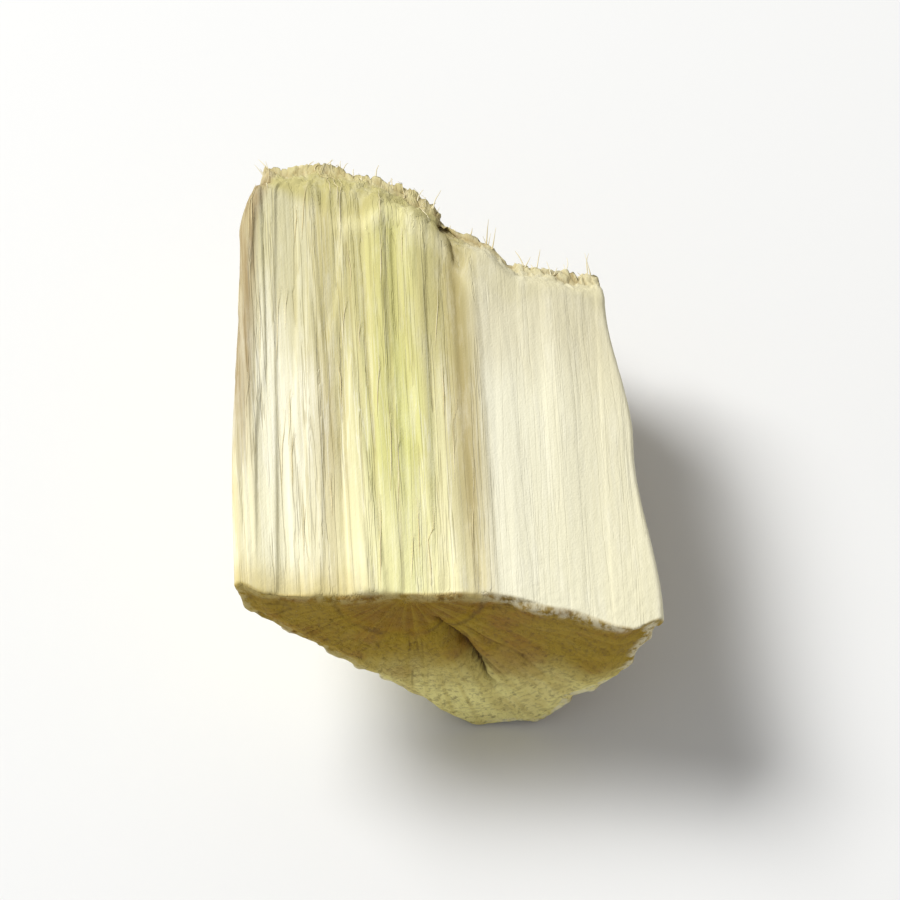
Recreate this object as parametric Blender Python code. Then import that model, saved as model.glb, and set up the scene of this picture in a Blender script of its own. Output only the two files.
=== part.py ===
"""One chip of peeled, dried marshmallow root, as it is diced for tea.

The chip is a piece of a root about as thick as a finger. The grain runs along Y, and the root's
pith lies in the split face on top. Under it the section goes round: a flat split flank on the
left, a narrow keel that the chip rests on, and the round peeled bark on the right. The front end
(-Y) is a clean knife cut. The back end is cut at a slant and torn, so its left side is longer.

The solid starts as a cube with a fine grid on each side. Every grid point moves to its place on
the chip, and a relief along the grain then raises the fibres, the furrows and the torn end.
"""

import math

import bmesh
import bpy
from mathutils import Vector, noise

MM = 0.001

# The chip's plan at its top. The sides are pairs of share of the length and x, and the ends are
# pairs of share of the half width and y.
LEFT_EDGE = ((0.0, -4.55 * MM), (0.3, -4.60 * MM), (0.8, -4.45 * MM), (1.0, -4.05 * MM))
RIGHT_EDGE = ((0.0, 4.55 * MM), (0.5, 3.95 * MM), (0.9, 3.35 * MM), (1.0, 3.20 * MM))
FRONT_END = (
    (-1.00, -5.15 * MM),
    (-0.86, -5.40 * MM),
    (0.18, -5.38 * MM),
    (0.53, -5.62 * MM),
    (0.85, -5.96 * MM),
    (1.00, -5.60 * MM),
)
BACK_END = (
    (-1.00, 5.65 * MM),
    (-0.61, 5.80 * MM),
    (-0.28, 5.42 * MM),
    (0.03, 4.75 * MM),
    (0.29, 3.97 * MM),
    (0.52, 3.32 * MM),
    (1.00, 3.20 * MM),
)
KEEL_FRONT, KEEL_BACK = -5.75 * MM, 3.80 * MM
BACK_LEAN_POWER = 0.5

# The section across the grain, from the split face on top to the keel below.
TOP_HEIGHT = 5.2 * MM
TOP_DISH = 0.12 * MM
BARK_FALL, BARK_FALL_POWER = 0.75 * MM, 1.2
BACK_FALL, BACK_FALL_LENGTH = 0.55 * MM, 1.1 * MM
LEFT_EDGE_HEIGHT, LEFT_EDGE_LEAN = 0.75 * MM, 0.12 * MM
KEEL_LEFT = ((0.0, 0.50 * MM), (0.40, -0.70 * MM), (1.0, -1.10 * MM))
KEEL_RIGHT = ((0.0, 1.95 * MM), (0.35, 1.95 * MM), (1.0, 1.55 * MM))
KEEL_MIDDLE_X, KEEL_MIDDLE_Y = 0.40 * MM, -0.5 * MM
KEEL_CURVE_ACROSS, KEEL_CURVE_ALONG = 5.7 * MM, 50.0 * MM
KEEL_WORN_AWAY = 0.16 * MM
EDGE_RADIUS = 0.16 * MM

# The root that the chip was cut from. Its axis runs nearly along Y, and it is thicker in front.
PITH_X, PITH_SLANT = -1.15 * MM, 0.05
WOOD_RADIUS, WOOD_TAPER = 1.50 * MM, 0.04

# The relief. Each grain is as wide across and as long along the root as this, and this high.
FIBRE_WIDTH, FIBRE_LENGTH, FIBRE_HEIGHT = 0.62 * MM, 6.0 * MM, 0.075 * MM
STRAND_WIDTH, STRAND_LENGTH, STRAND_HEIGHT = 1.6 * MM, 9.0 * MM, 0.11 * MM
FURROW_WIDTH, FURROW_LENGTH, FURROW_HEIGHT = 1.15 * MM, 7.0 * MM, 0.24 * MM
FURROW_LEVEL, FURROW_FADE = 1.25, 2.0 * MM
BARK_SMOOTHNESS, BARK_SMOOTH_FADE = 0.7, 0.5 * MM
TORN_WIDTH, TORN_DEPTH, TORN_HEIGHT = 1.1 * MM, 40.0 * MM, 0.30 * MM
SHRED_WIDTH, SHRED_HEIGHT = 0.46 * MM, 0.135 * MM
CUT_WIDTH, CUT_HEIGHT = 1.5 * MM, 0.07 * MM
STRAND_SEED, FIBRE_SEED, FURROW_SEED, CUT_SEED, TORN_SEED, SHRED_SEED = 3.0, 11.0, 23.0, 31.0, 41.0, 47.0

# The groove along the cambium, the line between wood and bark, and the split it opens into.
GROOVE_DEPTH, GROOVE_WIDTH = 0.13 * MM, 0.32 * MM
GROOVE_WANDER, GROOVE_WANDER_LENGTH, GROOVE_SEED = 0.15 * MM, 3.0 * MM, 5.0
SPLIT_DEPTH, SPLIT_LENGTH = 0.45 * MM, 2.6 * MM

# The drying check, a crack in the front end along one of the rays that leave the pith.
CHECK_DEGREES, CHECK_START, CHECK_END = -62.0, 1.1 * MM, 4.2 * MM
CHECK_DEPTH, CHECK_WIDTH = 0.30 * MM, 0.22 * MM

# The grid on the cube: cells across, along the grain and from keel to split face.
CELLS_ACROSS, CELLS_ALONG, CELLS_DEEP = 46, 27, 19
CROWD_TO_EDGES, CROWD_TO_ENDS = 0.35, 0.72
CORE_HEIGHT = 0.6 * TOP_HEIGHT
SHARP_EDGE_DEGREES = 38

CHIP_COLOUR = (0.74, 0.68, 0.42, 1.0)
CHIP_ROUGHNESS = 0.85


def clamped(value, low=0.0, high=1.0):
    """The value, kept between low and high."""
    return min(max(value, low), high)


def eased(value):
    """A smooth step from 0 to 1."""
    value = clamped(value)
    return value * value * (3.0 - 2.0 * value)


def mixed(first, second, share):
    """A value or a point on the way from first to second."""
    return first + (second - first) * share


def on_outline(outline, place):
    """The outline's value at a place, rounded between its points."""
    for (start, low), (end, high) in zip(outline, outline[1:]):
        if place <= end:
            return mixed(low, high, eased((place - start) / (end - start)))
    return outline[-1][1]


def crowded(value, strength):
    """A share from 0 to 1, with the grid's lines drawn closer together at both ends."""
    return value - strength * math.sin(2.0 * math.pi * value) / (2.0 * math.pi)


def worn(distance):
    """How far an edge has worn back at this distance from it, as a quarter circle."""
    gap = EDGE_RADIUS - clamped(distance, 0.0, EDGE_RADIUS)
    return EDGE_RADIUS - math.sqrt(EDGE_RADIUS**2 - gap**2)


def pith_x(y):
    """Where the pith lies at a place along the root."""
    return PITH_X - PITH_SLANT * y


def wood_radius(y):
    """How thick the root's wood is at a place along it."""
    return WOOD_RADIUS - WOOD_TAPER * y


def length_at(along):
    """The place along the root of a share of the chip's length."""
    return mixed(FRONT_END[0][1], BACK_END[0][1], along)


def split_face_height(x, left, right, along):
    """The height of the split face: dished over the wood, falling away over the bark and at the back."""
    y = length_at(along)
    cambium = pith_x(y) + wood_radius(y)
    dish = TOP_DISH * math.sin(math.pi * clamped((x - left) / (cambium - left)))
    fall = BARK_FALL * clamped((x - cambium) / (right - cambium)) ** BARK_FALL_POWER
    back = BACK_FALL * eased(1.0 - (length_at(1.0) - y) / BACK_FALL_LENGTH)
    return TOP_HEIGHT - dish - fall - back


def top_point(across, along, left, right):
    """A point (x, z) on the split face."""
    x = mixed(left, right, across)
    height = split_face_height(x, left, right, along)
    return Vector((x, height - worn(min(x - left, right - x))))


def keel_point(across, along):
    """A point (x, z) on the keel: a flat spot with the bark curving up around it."""
    x = mixed(on_outline(KEEL_LEFT, along), on_outline(KEEL_RIGHT, along), across)
    y = length_at(along)
    rise = (x - KEEL_MIDDLE_X) ** 2 / (2.0 * KEEL_CURVE_ACROSS)
    rise += (y - KEEL_MIDDLE_Y) ** 2 / (2.0 * KEEL_CURVE_ALONG)
    return Vector((x, rise - KEEL_WORN_AWAY))


def left_point(up, along, left, right):
    """A point (x, z) on the left: the flat split flank, then the narrow upright edge over it."""
    keel, top = keel_point(0.0, along), top_point(0.0, along, left, right)
    bend = Vector((left + LEFT_EDGE_LEAN, top.y - LEFT_EDGE_HEIGHT))
    flank, edge = (bend - keel).length, (top - bend).length
    place = up * (flank + edge)
    if place < flank:
        return mixed(keel, bend, place / flank)
    return mixed(bend, top, (place - flank) / edge)


def right_point(up, along, left, right):
    """A point (x, z) on the right: the round bark, which turns about the pith."""
    keel, top = keel_point(1.0, along), top_point(1.0, along, left, right)
    pith = Vector((pith_x(length_at(along)), TOP_HEIGHT))
    low, high = keel - pith, top - pith
    turn = mixed(math.atan2(low.y, low.x), math.atan2(high.y, high.x), up)
    radius = mixed(low.length, high.length, eased(up))
    return pith + radius * Vector((math.cos(turn), math.sin(turn)))


def section_point(across, up, along):
    """A point (x, z) of the section, inside it or on its outline, blended from its four sides."""
    left, right = on_outline(LEFT_EDGE, along), on_outline(RIGHT_EDGE, along)
    top, keel = top_point(across, along, left, right), keel_point(across, along)
    sides = mixed(left_point(up, along, left, right), right_point(up, along, left, right), across)
    top_corners = mixed(top_point(0.0, along, left, right), top_point(1.0, along, left, right), across)
    keel_corners = mixed(keel_point(0.0, along), keel_point(1.0, along), across)
    return mixed(keel, top, up) + sides - mixed(keel_corners, top_corners, up)


def chip_point(across, along, up):
    """The place of a grid point on the plain chip. Each share runs from 0 to 1."""
    point = section_point(across, up, along)
    side = 2.0 * across - 1.0
    height = clamped(point.y / TOP_HEIGHT)
    front = mixed(KEEL_FRONT, on_outline(FRONT_END, side), height)
    back = mixed(KEEL_BACK, on_outline(BACK_END, side), height**BACK_LEAN_POWER)
    if across in (0.0, 1.0) or up in (0.0, 1.0):
        core = Vector((KEEL_MIDDLE_X, CORE_HEIGHT))
        from_end = min(along, 1.0 - along) * (back - front)
        point += (core - point).normalized() * worn(from_end)
    return Vector((point.x, mixed(front, back, along), point.y))


def grain(place, width, length, seed):
    """Noise from -1 to 1 that is stretched along the grain."""
    return noise.noise(Vector((place.x / width, place.y / length + seed, place.z / width)))


def groove_relief(place, back_distance):
    """The groove along the cambium in the split face. It opens into a split at the back end."""
    if place.z < TOP_HEIGHT - BARK_FALL - BACK_FALL:
        return 0.0
    wander = GROOVE_WANDER * noise.noise(Vector((0.0, place.y / GROOVE_WANDER_LENGTH, GROOVE_SEED)))
    middle = pith_x(place.y) + wood_radius(place.y) + wander
    groove = math.exp(-(((place.x - middle) / GROOVE_WIDTH) ** 2))
    opening = eased(1.0 - back_distance / SPLIT_LENGTH)
    return -groove * mixed(GROOVE_DEPTH, SPLIT_DEPTH, opening)


def side_relief(place, is_top, back_distance):
    """How far the surface stands out from the plain form, on the sides that run along the grain."""
    strands = STRAND_HEIGHT * grain(place, STRAND_WIDTH, STRAND_LENGTH, STRAND_SEED)
    fibres = FIBRE_HEIGHT * grain(place, FIBRE_WIDTH, FIBRE_LENGTH, FIBRE_SEED)
    if is_top:
        bark = eased((place.x - pith_x(place.y) - wood_radius(place.y)) / BARK_SMOOTH_FADE)
        return (strands + fibres) * (1.0 - BARK_SMOOTHNESS * bark) + groove_relief(place, back_distance)
    furrows = 1.0 - 2.0 * abs(grain(place, FURROW_WIDTH, FURROW_LENGTH, FURROW_SEED))
    bark = eased((place.x - KEEL_MIDDLE_X) / FURROW_FADE)
    return strands + fibres + bark * FURROW_HEIGHT * (furrows - FURROW_LEVEL)


def check_relief(place):
    """How deep the drying check is at a point of the front end."""
    angle = math.radians(CHECK_DEGREES)
    out_x, out_z = place.x - pith_x(place.y), place.z - TOP_HEIGHT
    along_ray = out_x * math.cos(angle) + out_z * math.sin(angle)
    off_ray = out_z * math.cos(angle) - out_x * math.sin(angle)
    share = clamped((along_ray - CHECK_START) / (CHECK_END - CHECK_START))
    return -CHECK_DEPTH * math.sin(math.pi * share) * math.exp(-((off_ray / CHECK_WIDTH) ** 2))


def end_relief(place, is_back):
    """How far an end stands out along the grain: nearly flat where it is cut, ragged where it is torn."""
    if not is_back:
        return CUT_HEIGHT * grain(place, CUT_WIDTH, CUT_WIDTH, CUT_SEED) + check_relief(place)
    steps = TORN_HEIGHT * grain(place, TORN_WIDTH, TORN_DEPTH, TORN_SEED)
    return steps + SHRED_HEIGHT * grain(place, SHRED_WIDTH, TORN_DEPTH, SHRED_SEED)


def place_grid(mesh):
    """Moves the cube's grid points onto the plain chip. Returns each point's shares of the way."""
    shares = {}
    for vertex in mesh.verts:
        across, along, up = ((part + 1.0) / 2.0 for part in vertex.co)
        across = crowded(across, CROWD_TO_EDGES)
        along = crowded(along, CROWD_TO_ENDS)
        shares[vertex] = (across, along, up)
        vertex.co = chip_point(across, along, up)
    return shares


def raise_relief(mesh, shares):
    """Moves each point out or in by the relief of the side that it is on, then wears the keel flat."""
    mesh.normal_update()
    moves = {}
    for vertex, (across, along, up) in shares.items():
        move = Vector((0.0, 0.0, 0.0))
        if across in (0.0, 1.0) or up in (0.0, 1.0):
            outward = Vector((vertex.normal.x, 0.0, vertex.normal.z)).normalized()
            back_distance = length_at(1.0) - length_at(along)
            move += outward * side_relief(vertex.co, up == 1.0, back_distance)
        if along == 0.0:
            move.y -= end_relief(vertex.co, False)
        if along == 1.0:
            move.y += end_relief(vertex.co, True)
        moves[vertex] = move
    for vertex, move in moves.items():
        vertex.co += move
        vertex.co.z = max(vertex.co.z, 0.0)


def gridded_cube():
    """A cube from -1 to 1 with each side cut into a grid of cells."""
    mesh = bmesh.new()
    bmesh.ops.create_cube(mesh, size=2.0)
    for axis, cells in enumerate((CELLS_ACROSS, CELLS_ALONG, CELLS_DEEP)):
        edges = [e for e in mesh.edges if abs(e.verts[0].co[axis] - e.verts[1].co[axis]) > 1.0]
        bmesh.ops.subdivide_edges(mesh, edges=edges, cuts=cells - 1, use_grid_fill=True)
    return mesh


def root_material():
    """The plain finish of the dried root."""
    material = bpy.data.materials.new("dried_root")
    material.use_nodes = True
    shader = material.node_tree.nodes["Principled BSDF"]
    shader.inputs["Base Color"].default_value = CHIP_COLOUR
    shader.inputs["Roughness"].default_value = CHIP_ROUGHNESS
    return material


def make_chip(collection):
    """The whole chip, as one solid."""
    grid = gridded_cube()
    shares = place_grid(grid)
    raise_relief(grid, shares)
    bmesh.ops.recalc_face_normals(grid, faces=grid.faces)
    mesh = bpy.data.meshes.new("root_chip")
    grid.to_mesh(mesh)
    grid.free()
    mesh.shade_smooth()
    mesh.set_sharp_from_angle(angle=math.radians(SHARP_EDGE_DEGREES))
    mesh.materials.append(root_material())
    chip = bpy.data.objects.new("root_chip", mesh)
    collection.objects.link(chip)


def clear_scene():
    """Removes what the new file holds."""
    for thing in list(bpy.data.objects):
        bpy.data.objects.remove(thing)


clear_scene()
parts = bpy.data.collections.new("marshmallow_root_chip")
bpy.context.scene.collection.children.link(parts)
make_chip(parts)
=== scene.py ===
# %% [markdown]
# # A cut chip of marshmallow root
#
# This lesson dresses one chip of dried, peeled marshmallow root, as it is diced for tea. The chip is
# a wedge out of a root about as thick as a finger. Its split face, on top, shows the root cut open
# along the grain: cream wood on the left with the greenish pith in it, then the brown line of the
# cambium, then smooth white bark on the right. The front end is a knife cut across the grain, and
# the back end is torn.
#
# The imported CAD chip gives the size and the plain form. The lesson makes the same form again on a
# much finer grid, adds the small relief that dried root has, paints it with one solid pattern that
# knows where the root's axis is, and lets a few loose fibres stand at the torn end.

import math

import bpy
import numpy as np
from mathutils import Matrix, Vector, noise


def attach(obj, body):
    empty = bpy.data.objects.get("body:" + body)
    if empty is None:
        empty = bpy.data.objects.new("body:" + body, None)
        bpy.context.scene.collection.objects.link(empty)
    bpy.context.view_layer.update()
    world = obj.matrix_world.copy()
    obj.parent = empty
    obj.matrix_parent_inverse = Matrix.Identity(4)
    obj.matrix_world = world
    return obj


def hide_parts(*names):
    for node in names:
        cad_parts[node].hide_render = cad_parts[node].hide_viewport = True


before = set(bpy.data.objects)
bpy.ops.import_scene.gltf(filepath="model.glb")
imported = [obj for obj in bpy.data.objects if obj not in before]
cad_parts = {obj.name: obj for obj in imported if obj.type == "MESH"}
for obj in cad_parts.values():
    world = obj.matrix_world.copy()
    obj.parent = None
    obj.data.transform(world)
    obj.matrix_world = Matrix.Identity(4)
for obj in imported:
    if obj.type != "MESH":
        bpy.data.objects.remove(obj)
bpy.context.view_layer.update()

# %% [markdown]
# ## The chip's own measures
#
# All of these are in millimetres. The plan is four outlines, each a list of (share of the way,
# place). The section goes from the split face on top down to the narrow keel that the chip rests
# on. The root's axis runs nearly along Y inside the split face, and everything that grew round it,
# such as the cambium, is measured from that axis.

# %% Measures of the chip
MM = 0.001
LEFT_EDGE = ((0.0, -4.55), (0.3, -4.60), (0.8, -4.45), (1.0, -4.05))
RIGHT_EDGE = ((0.0, 4.55), (0.5, 3.95), (0.9, 3.35), (1.0, 3.20))
FRONT_END = ((-1.00, -5.15), (-0.86, -5.40), (0.18, -5.38), (0.53, -5.62), (0.85, -5.96), (1.00, -5.60))
BACK_END = (
    (-1.00, 5.65), (-0.61, 5.80), (-0.28, 5.42), (0.03, 4.75), (0.29, 3.97), (0.52, 3.32), (1.00, 3.20),
)
KEEL_FRONT, KEEL_BACK, BACK_LEAN_POWER = -5.75, 3.80, 0.5
TOP_HEIGHT, TOP_DISH = 5.2, 0.12
BARK_FALL, BARK_FALL_POWER = 0.75, 1.2
BACK_FALL, BACK_FALL_LENGTH = 0.55, 1.1
LEFT_EDGE_HEIGHT, LEFT_EDGE_LEAN = 0.75, 0.12
KEEL_LEFT = ((0.0, 0.50), (0.40, -0.70), (1.0, -1.10))
KEEL_RIGHT = ((0.0, 1.95), (0.35, 1.95), (1.0, 1.55))
KEEL_MIDDLE_X, KEEL_MIDDLE_Y = 0.40, -0.5
KEEL_CURVE_ACROSS, KEEL_CURVE_ALONG, KEEL_WORN_AWAY = 5.7, 50.0, 0.16
EDGE_RADIUS, CORE_HEIGHT = 0.10, 0.6 * TOP_HEIGHT
PITH_X, PITH_SLANT = -1.15, 0.05
WOOD_RADIUS, WOOD_TAPER = 1.40, 0.01
root_thickness = 2 * (RIGHT_EDGE[1][1] - PITH_X)
print("a root", round(root_thickness, 1), "mm thick, with wood", 2 * WOOD_RADIUS, "mm thick in it")

# %% [markdown]
# ## A few small tools
#
# The form is worked out for all the grid's corners at once, so these helpers take whole arrays.
# on_outline reads an outline at any place and rounds it between its points.

# %% Helpers for the form
def eased(value):
    """A smooth step from 0 to 1."""
    value = np.clip(value, 0.0, 1.0)
    return value * value * (3.0 - 2.0 * value)


def mixed(first, second, share):
    """A value on the way from first to second."""
    return first + (second - first) * share


def on_outline(outline, place):
    """The outline's value at each place, rounded between its points."""
    places, values = np.array(outline).T
    after = np.clip(np.searchsorted(places, place), 1, len(places) - 1)
    share = (place - places[after - 1]) / (places[after] - places[after - 1])
    return mixed(values[after - 1], values[after], eased(share))


def crowded(value, strength):
    """A share from 0 to 1, with the grid's lines drawn closer together at both ends."""
    return value - strength * np.sin(2.0 * np.pi * value) / (2.0 * np.pi)


def worn(distance):
    """How far an edge has worn back at this distance from it, as a quarter circle."""
    gap = EDGE_RADIUS - np.clip(distance, 0.0, EDGE_RADIUS)
    return EDGE_RADIUS - np.sqrt(EDGE_RADIUS**2 - gap**2)


def pith_x(y):
    """Where the pith lies at a place along the root."""
    return PITH_X - PITH_SLANT * y


def wood_radius(y):
    """How thick the root's wood is at a place along it."""
    return WOOD_RADIUS - WOOD_TAPER * y


def length_at(along):
    """The place along the root of a share of the chip's length."""
    return mixed(FRONT_END[0][1], BACK_END[0][1], along)


print("the cambium crosses the middle of the split face at x =", round(pith_x(0) + wood_radius(0), 2), "mm")

# %% [markdown]
# ## The plain form
#
# The real chip was split, cut and peeled, so its form is a few faces that meet in edges. It could be
# sculpted, but a rule is easier to keep true to the CAD chip: each point of a cube's surface is a
# share of the way across, along and up, and these functions say where that point lies on the chip.
# The section is blended from its four sides, so inner points of the two ends have a place as well.

# %% The section across the grain
def top_side(across, along, left, right):
    """Points (x, z) of the split face: dished over the wood, falling away over the bark and the back."""
    x, y = mixed(left, right, across), length_at(along)
    cambium = pith_x(y) + wood_radius(y)
    dish = TOP_DISH * np.sin(np.pi * np.clip((x - left) / (cambium - left), 0.0, 1.0))
    fall = BARK_FALL * np.clip((x - cambium) / (right - cambium), 0.0, 1.0) ** BARK_FALL_POWER
    back = BACK_FALL * eased(1.0 - (length_at(1.0) - y) / BACK_FALL_LENGTH)
    return np.stack((x, TOP_HEIGHT - dish - fall - back - worn(np.minimum(x - left, right - x))), -1)


def keel_side(across, along):
    """Points (x, z) of the keel: a flat spot with the bark curving up round it."""
    x = mixed(on_outline(KEEL_LEFT, along), on_outline(KEEL_RIGHT, along), across)
    rise = (x - KEEL_MIDDLE_X) ** 2 / (2.0 * KEEL_CURVE_ACROSS)
    rise = rise + (length_at(along) - KEEL_MIDDLE_Y) ** 2 / (2.0 * KEEL_CURVE_ALONG)
    return np.stack((x, rise - KEEL_WORN_AWAY), -1)


def left_side(up, along, left, right):
    """Points (x, z) on the left: the flat split flank, then the narrow upright edge over it."""
    keel, top = keel_side(0.0, along), top_side(0.0, along, left, right)
    bend = np.stack((left + LEFT_EDGE_LEAN, top[:, 1] - LEFT_EDGE_HEIGHT), -1)
    flank = np.linalg.norm(bend - keel, axis=-1)
    edge = np.linalg.norm(top - bend, axis=-1)
    place = up * (flank + edge)
    on_flank = mixed(keel, bend, np.clip(place / flank, 0.0, 1.0)[:, None])
    return mixed(on_flank, top, np.clip((place - flank) / edge, 0.0, 1.0)[:, None])


def right_side(up, along, left, right):
    """Points (x, z) on the right: the round bark, which turns about the pith."""
    pith = np.stack((pith_x(length_at(along)), np.full_like(along, TOP_HEIGHT)), -1)
    low = keel_side(1.0, along) - pith
    high = top_side(1.0, along, left, right) - pith
    turn = mixed(np.arctan2(low[:, 1], low[:, 0]), np.arctan2(high[:, 1], high[:, 0]), up)
    radius = mixed(np.linalg.norm(low, axis=-1), np.linalg.norm(high, axis=-1), eased(up))
    return pith + radius[:, None] * np.stack((np.cos(turn), np.sin(turn)), -1)


def section(across, along, up):
    """Points (x, z) of the section, inside it or on its outline, blended from its four sides."""
    left, right = on_outline(LEFT_EDGE, along), on_outline(RIGHT_EDGE, along)
    share_x, share_z = across[:, None], up[:, None]
    top, keel = top_side(across, along, left, right), keel_side(across, along)
    sides = mixed(left_side(up, along, left, right), right_side(up, along, left, right), share_x)
    top_corners = mixed(top_side(0.0, along, left, right), top_side(1.0, along, left, right), share_x)
    keel_corners = mixed(keel_side(0.0, along), keel_side(1.0, along), share_x)
    return mixed(keel, top, share_z) + sides - mixed(keel_corners, top_corners, share_z)


half_way = section(np.array([0.0, 0.5, 1.0]), np.full(3, 0.5), np.ones(3))
print("the split face half way along, from left to right (x, z):", half_way.round(2).tolist())

# %% Helpers for objects and meshes
def new_object(name, data):
    """An object in the scene that holds this data."""
    made = bpy.data.objects.new(name, data)
    bpy.context.scene.collection.objects.link(made)
    return made


def applied(holder):
    """The plain mesh that an object's modifiers make. The object itself goes."""
    made = bpy.data.meshes.new_from_object(holder.evaluated_get(bpy.context.evaluated_depsgraph_get()))
    bpy.data.objects.remove(holder)
    return made


def fine_cube(cells):
    """A cube from -1 to 1 on a fine grid, from the Mesh Cube node, which takes a count for each axis."""
    tree = bpy.data.node_groups.new("fine_cube", "GeometryNodeTree")
    tree.interface.new_socket("Geometry", in_out="OUTPUT", socket_type="NodeSocketGeometry")
    cube, out = tree.nodes.new("GeometryNodeMeshCube"), tree.nodes.new("NodeGroupOutput")
    cube.inputs["Size"].default_value = (2.0, 2.0, 2.0)
    for axis, count in zip("XYZ", cells):
        cube.inputs["Vertices " + axis].default_value = count + 1
    tree.links.new(cube.outputs["Mesh"], out.inputs["Geometry"])
    holder = new_object("fine_cube", bpy.data.meshes.new("fine_cube"))
    holder.modifiers.new("grid", "NODES").node_group = tree
    made = applied(holder)
    made.materials.clear()
    return made


CELLS_ACROSS, CELLS_ALONG, CELLS_DEEP = 206, 116, 74
grid = fine_cube((CELLS_ACROSS, CELLS_ALONG, CELLS_DEEP))
print("the grid has", len(grid.polygons), "faces")

# %% Every point of the chip
CROWD_TO_EDGES, CROWD_TO_ENDS = 0.35, 0.72
TINY = 1e-6


def plain_chip(across, along, up, on_skin):
    """Points (x, y, z) of the plain chip, and how far each lies from the front and the back end."""
    points = section(across, along, up)
    side = 2.0 * across - 1.0
    height = np.clip(points[:, 1] / TOP_HEIGHT, 0.0, 1.0)
    front = mixed(KEEL_FRONT, on_outline(FRONT_END, side), height)
    back = mixed(KEEL_BACK, on_outline(BACK_END, side), height**BACK_LEAN_POWER)
    from_front, from_back = along * (back - front), (1.0 - along) * (back - front)
    inward = np.array((KEEL_MIDDLE_X, CORE_HEIGHT)) - points
    inward = inward / np.linalg.norm(inward, axis=-1)[:, None]
    points = points + inward * (on_skin * worn(np.minimum(from_front, from_back)))[:, None]
    return np.stack((points[:, 0], mixed(front, back, along), points[:, 1]), -1), from_front, from_back


def refilled(points, end):
    """The points, with those inside one end blended again from the end's rim, where the rim has gone."""
    numbers = np.zeros((CELLS_ACROSS + 1, CELLS_DEEP + 1), int)
    steps = np.rint(shares[end] * (CELLS_ACROSS, CELLS_ALONG, CELLS_DEEP)).astype(int)
    numbers[steps[:, 0], steps[:, 2]] = np.flatnonzero(end)
    share_x, share_z = across[numbers][:, :1, None], up[numbers][:1, :, None]
    face = points[numbers][:, :, (0, 2)]
    between = mixed(face[:, :1], face[:, -1:], share_z) + mixed(face[:1], face[-1:], share_x)
    low = mixed(face[:1, :1], face[-1:, :1], share_x)
    high = mixed(face[:1, -1:], face[-1:, -1:], share_x)
    filled = points.copy()
    filled[numbers[:, :, None], (0, 2)] = between - mixed(low, high, share_z)
    return filled


corners = np.zeros(3 * len(grid.vertices), np.float32)
grid.vertices.foreach_get("co", corners)
shares = (corners.reshape(-1, 3).astype(float) + 1.0) / 2.0
across, along = crowded(shares[:, 0], CROWD_TO_EDGES), crowded(shares[:, 1], CROWD_TO_ENDS)
up = shares[:, 2]
along_grain = (across < TINY) | (across > 1.0 - TINY) | (up < TINY) | (up > 1.0 - TINY)
is_front, is_back = along < TINY, along > 1.0 - TINY
plain, from_front, from_back = plain_chip(across, along, up, along_grain)
plain = refilled(refilled(plain, is_front), is_back)
print(len(plain), "corners on the plain chip, from", plain.min(0).round(2), "to", plain.max(0).round(2))

# %% [markdown]
# ## Which face is where
#
# The relief and the finish differ from face to face, so each corner of the grid remembers what it
# is part of: the cut end, the torn end, the peeled rind, the split faces, or a worn rim. These go
# on the mesh as attributes, soft numbers from 0 to 1 that both kinds of node tree can read.

# %% Marks on the grid
WIDTH, DEPTH = 9.0, 5.5
CUT_DEPTH, TORN_DEPTH, RIND_DEPTH, RIM_WIDTH = 0.10, 1.0, 0.30, 0.11
RIND_FADE, RIND_START_LEFT, RIND_BELOW_TOP = 1.5, 1.0, 0.5
FLANK_DEPTH, FLANK_BELOW_TOP, FLANK_FADE = 0.1, 0.9, 0.5
OPEN_WOOD_FADE, LEDGE_FADE = 0.6, 0.5
CREST_SPAN, CREST_FADE, CREST_WIDTH = (-2.9, 1.2), 0.8, 0.26
CREST_PLACE, CREST_SWAY, CREST_WAVES = 1.5, 0.35, 1.9
EDGE_STRIP, EDGE_STRIP_FADE = 0.42, 0.25
FRONT_STRIP, FRONT_STRIP_RIGHT, FRONT_STRIP_FADE = 1.1, -1.2, 1.2


def crest_line(x):
    """How far in front of the torn end the low crest lies, as a line that sways."""
    return CREST_PLACE + CREST_SWAY * np.sin(CREST_WAVES * x)


def crest(x, from_back):
    """The low crest in front of the torn end, a line from 0 to 1 that fades out at both ends."""
    fade = eased((x - CREST_SPAN[0]) / CREST_FADE) * eased((CREST_SPAN[1] - x) / CREST_FADE)
    return fade * np.exp(-(((from_back - crest_line(x)) / CREST_WIDTH) ** 2))


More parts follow.
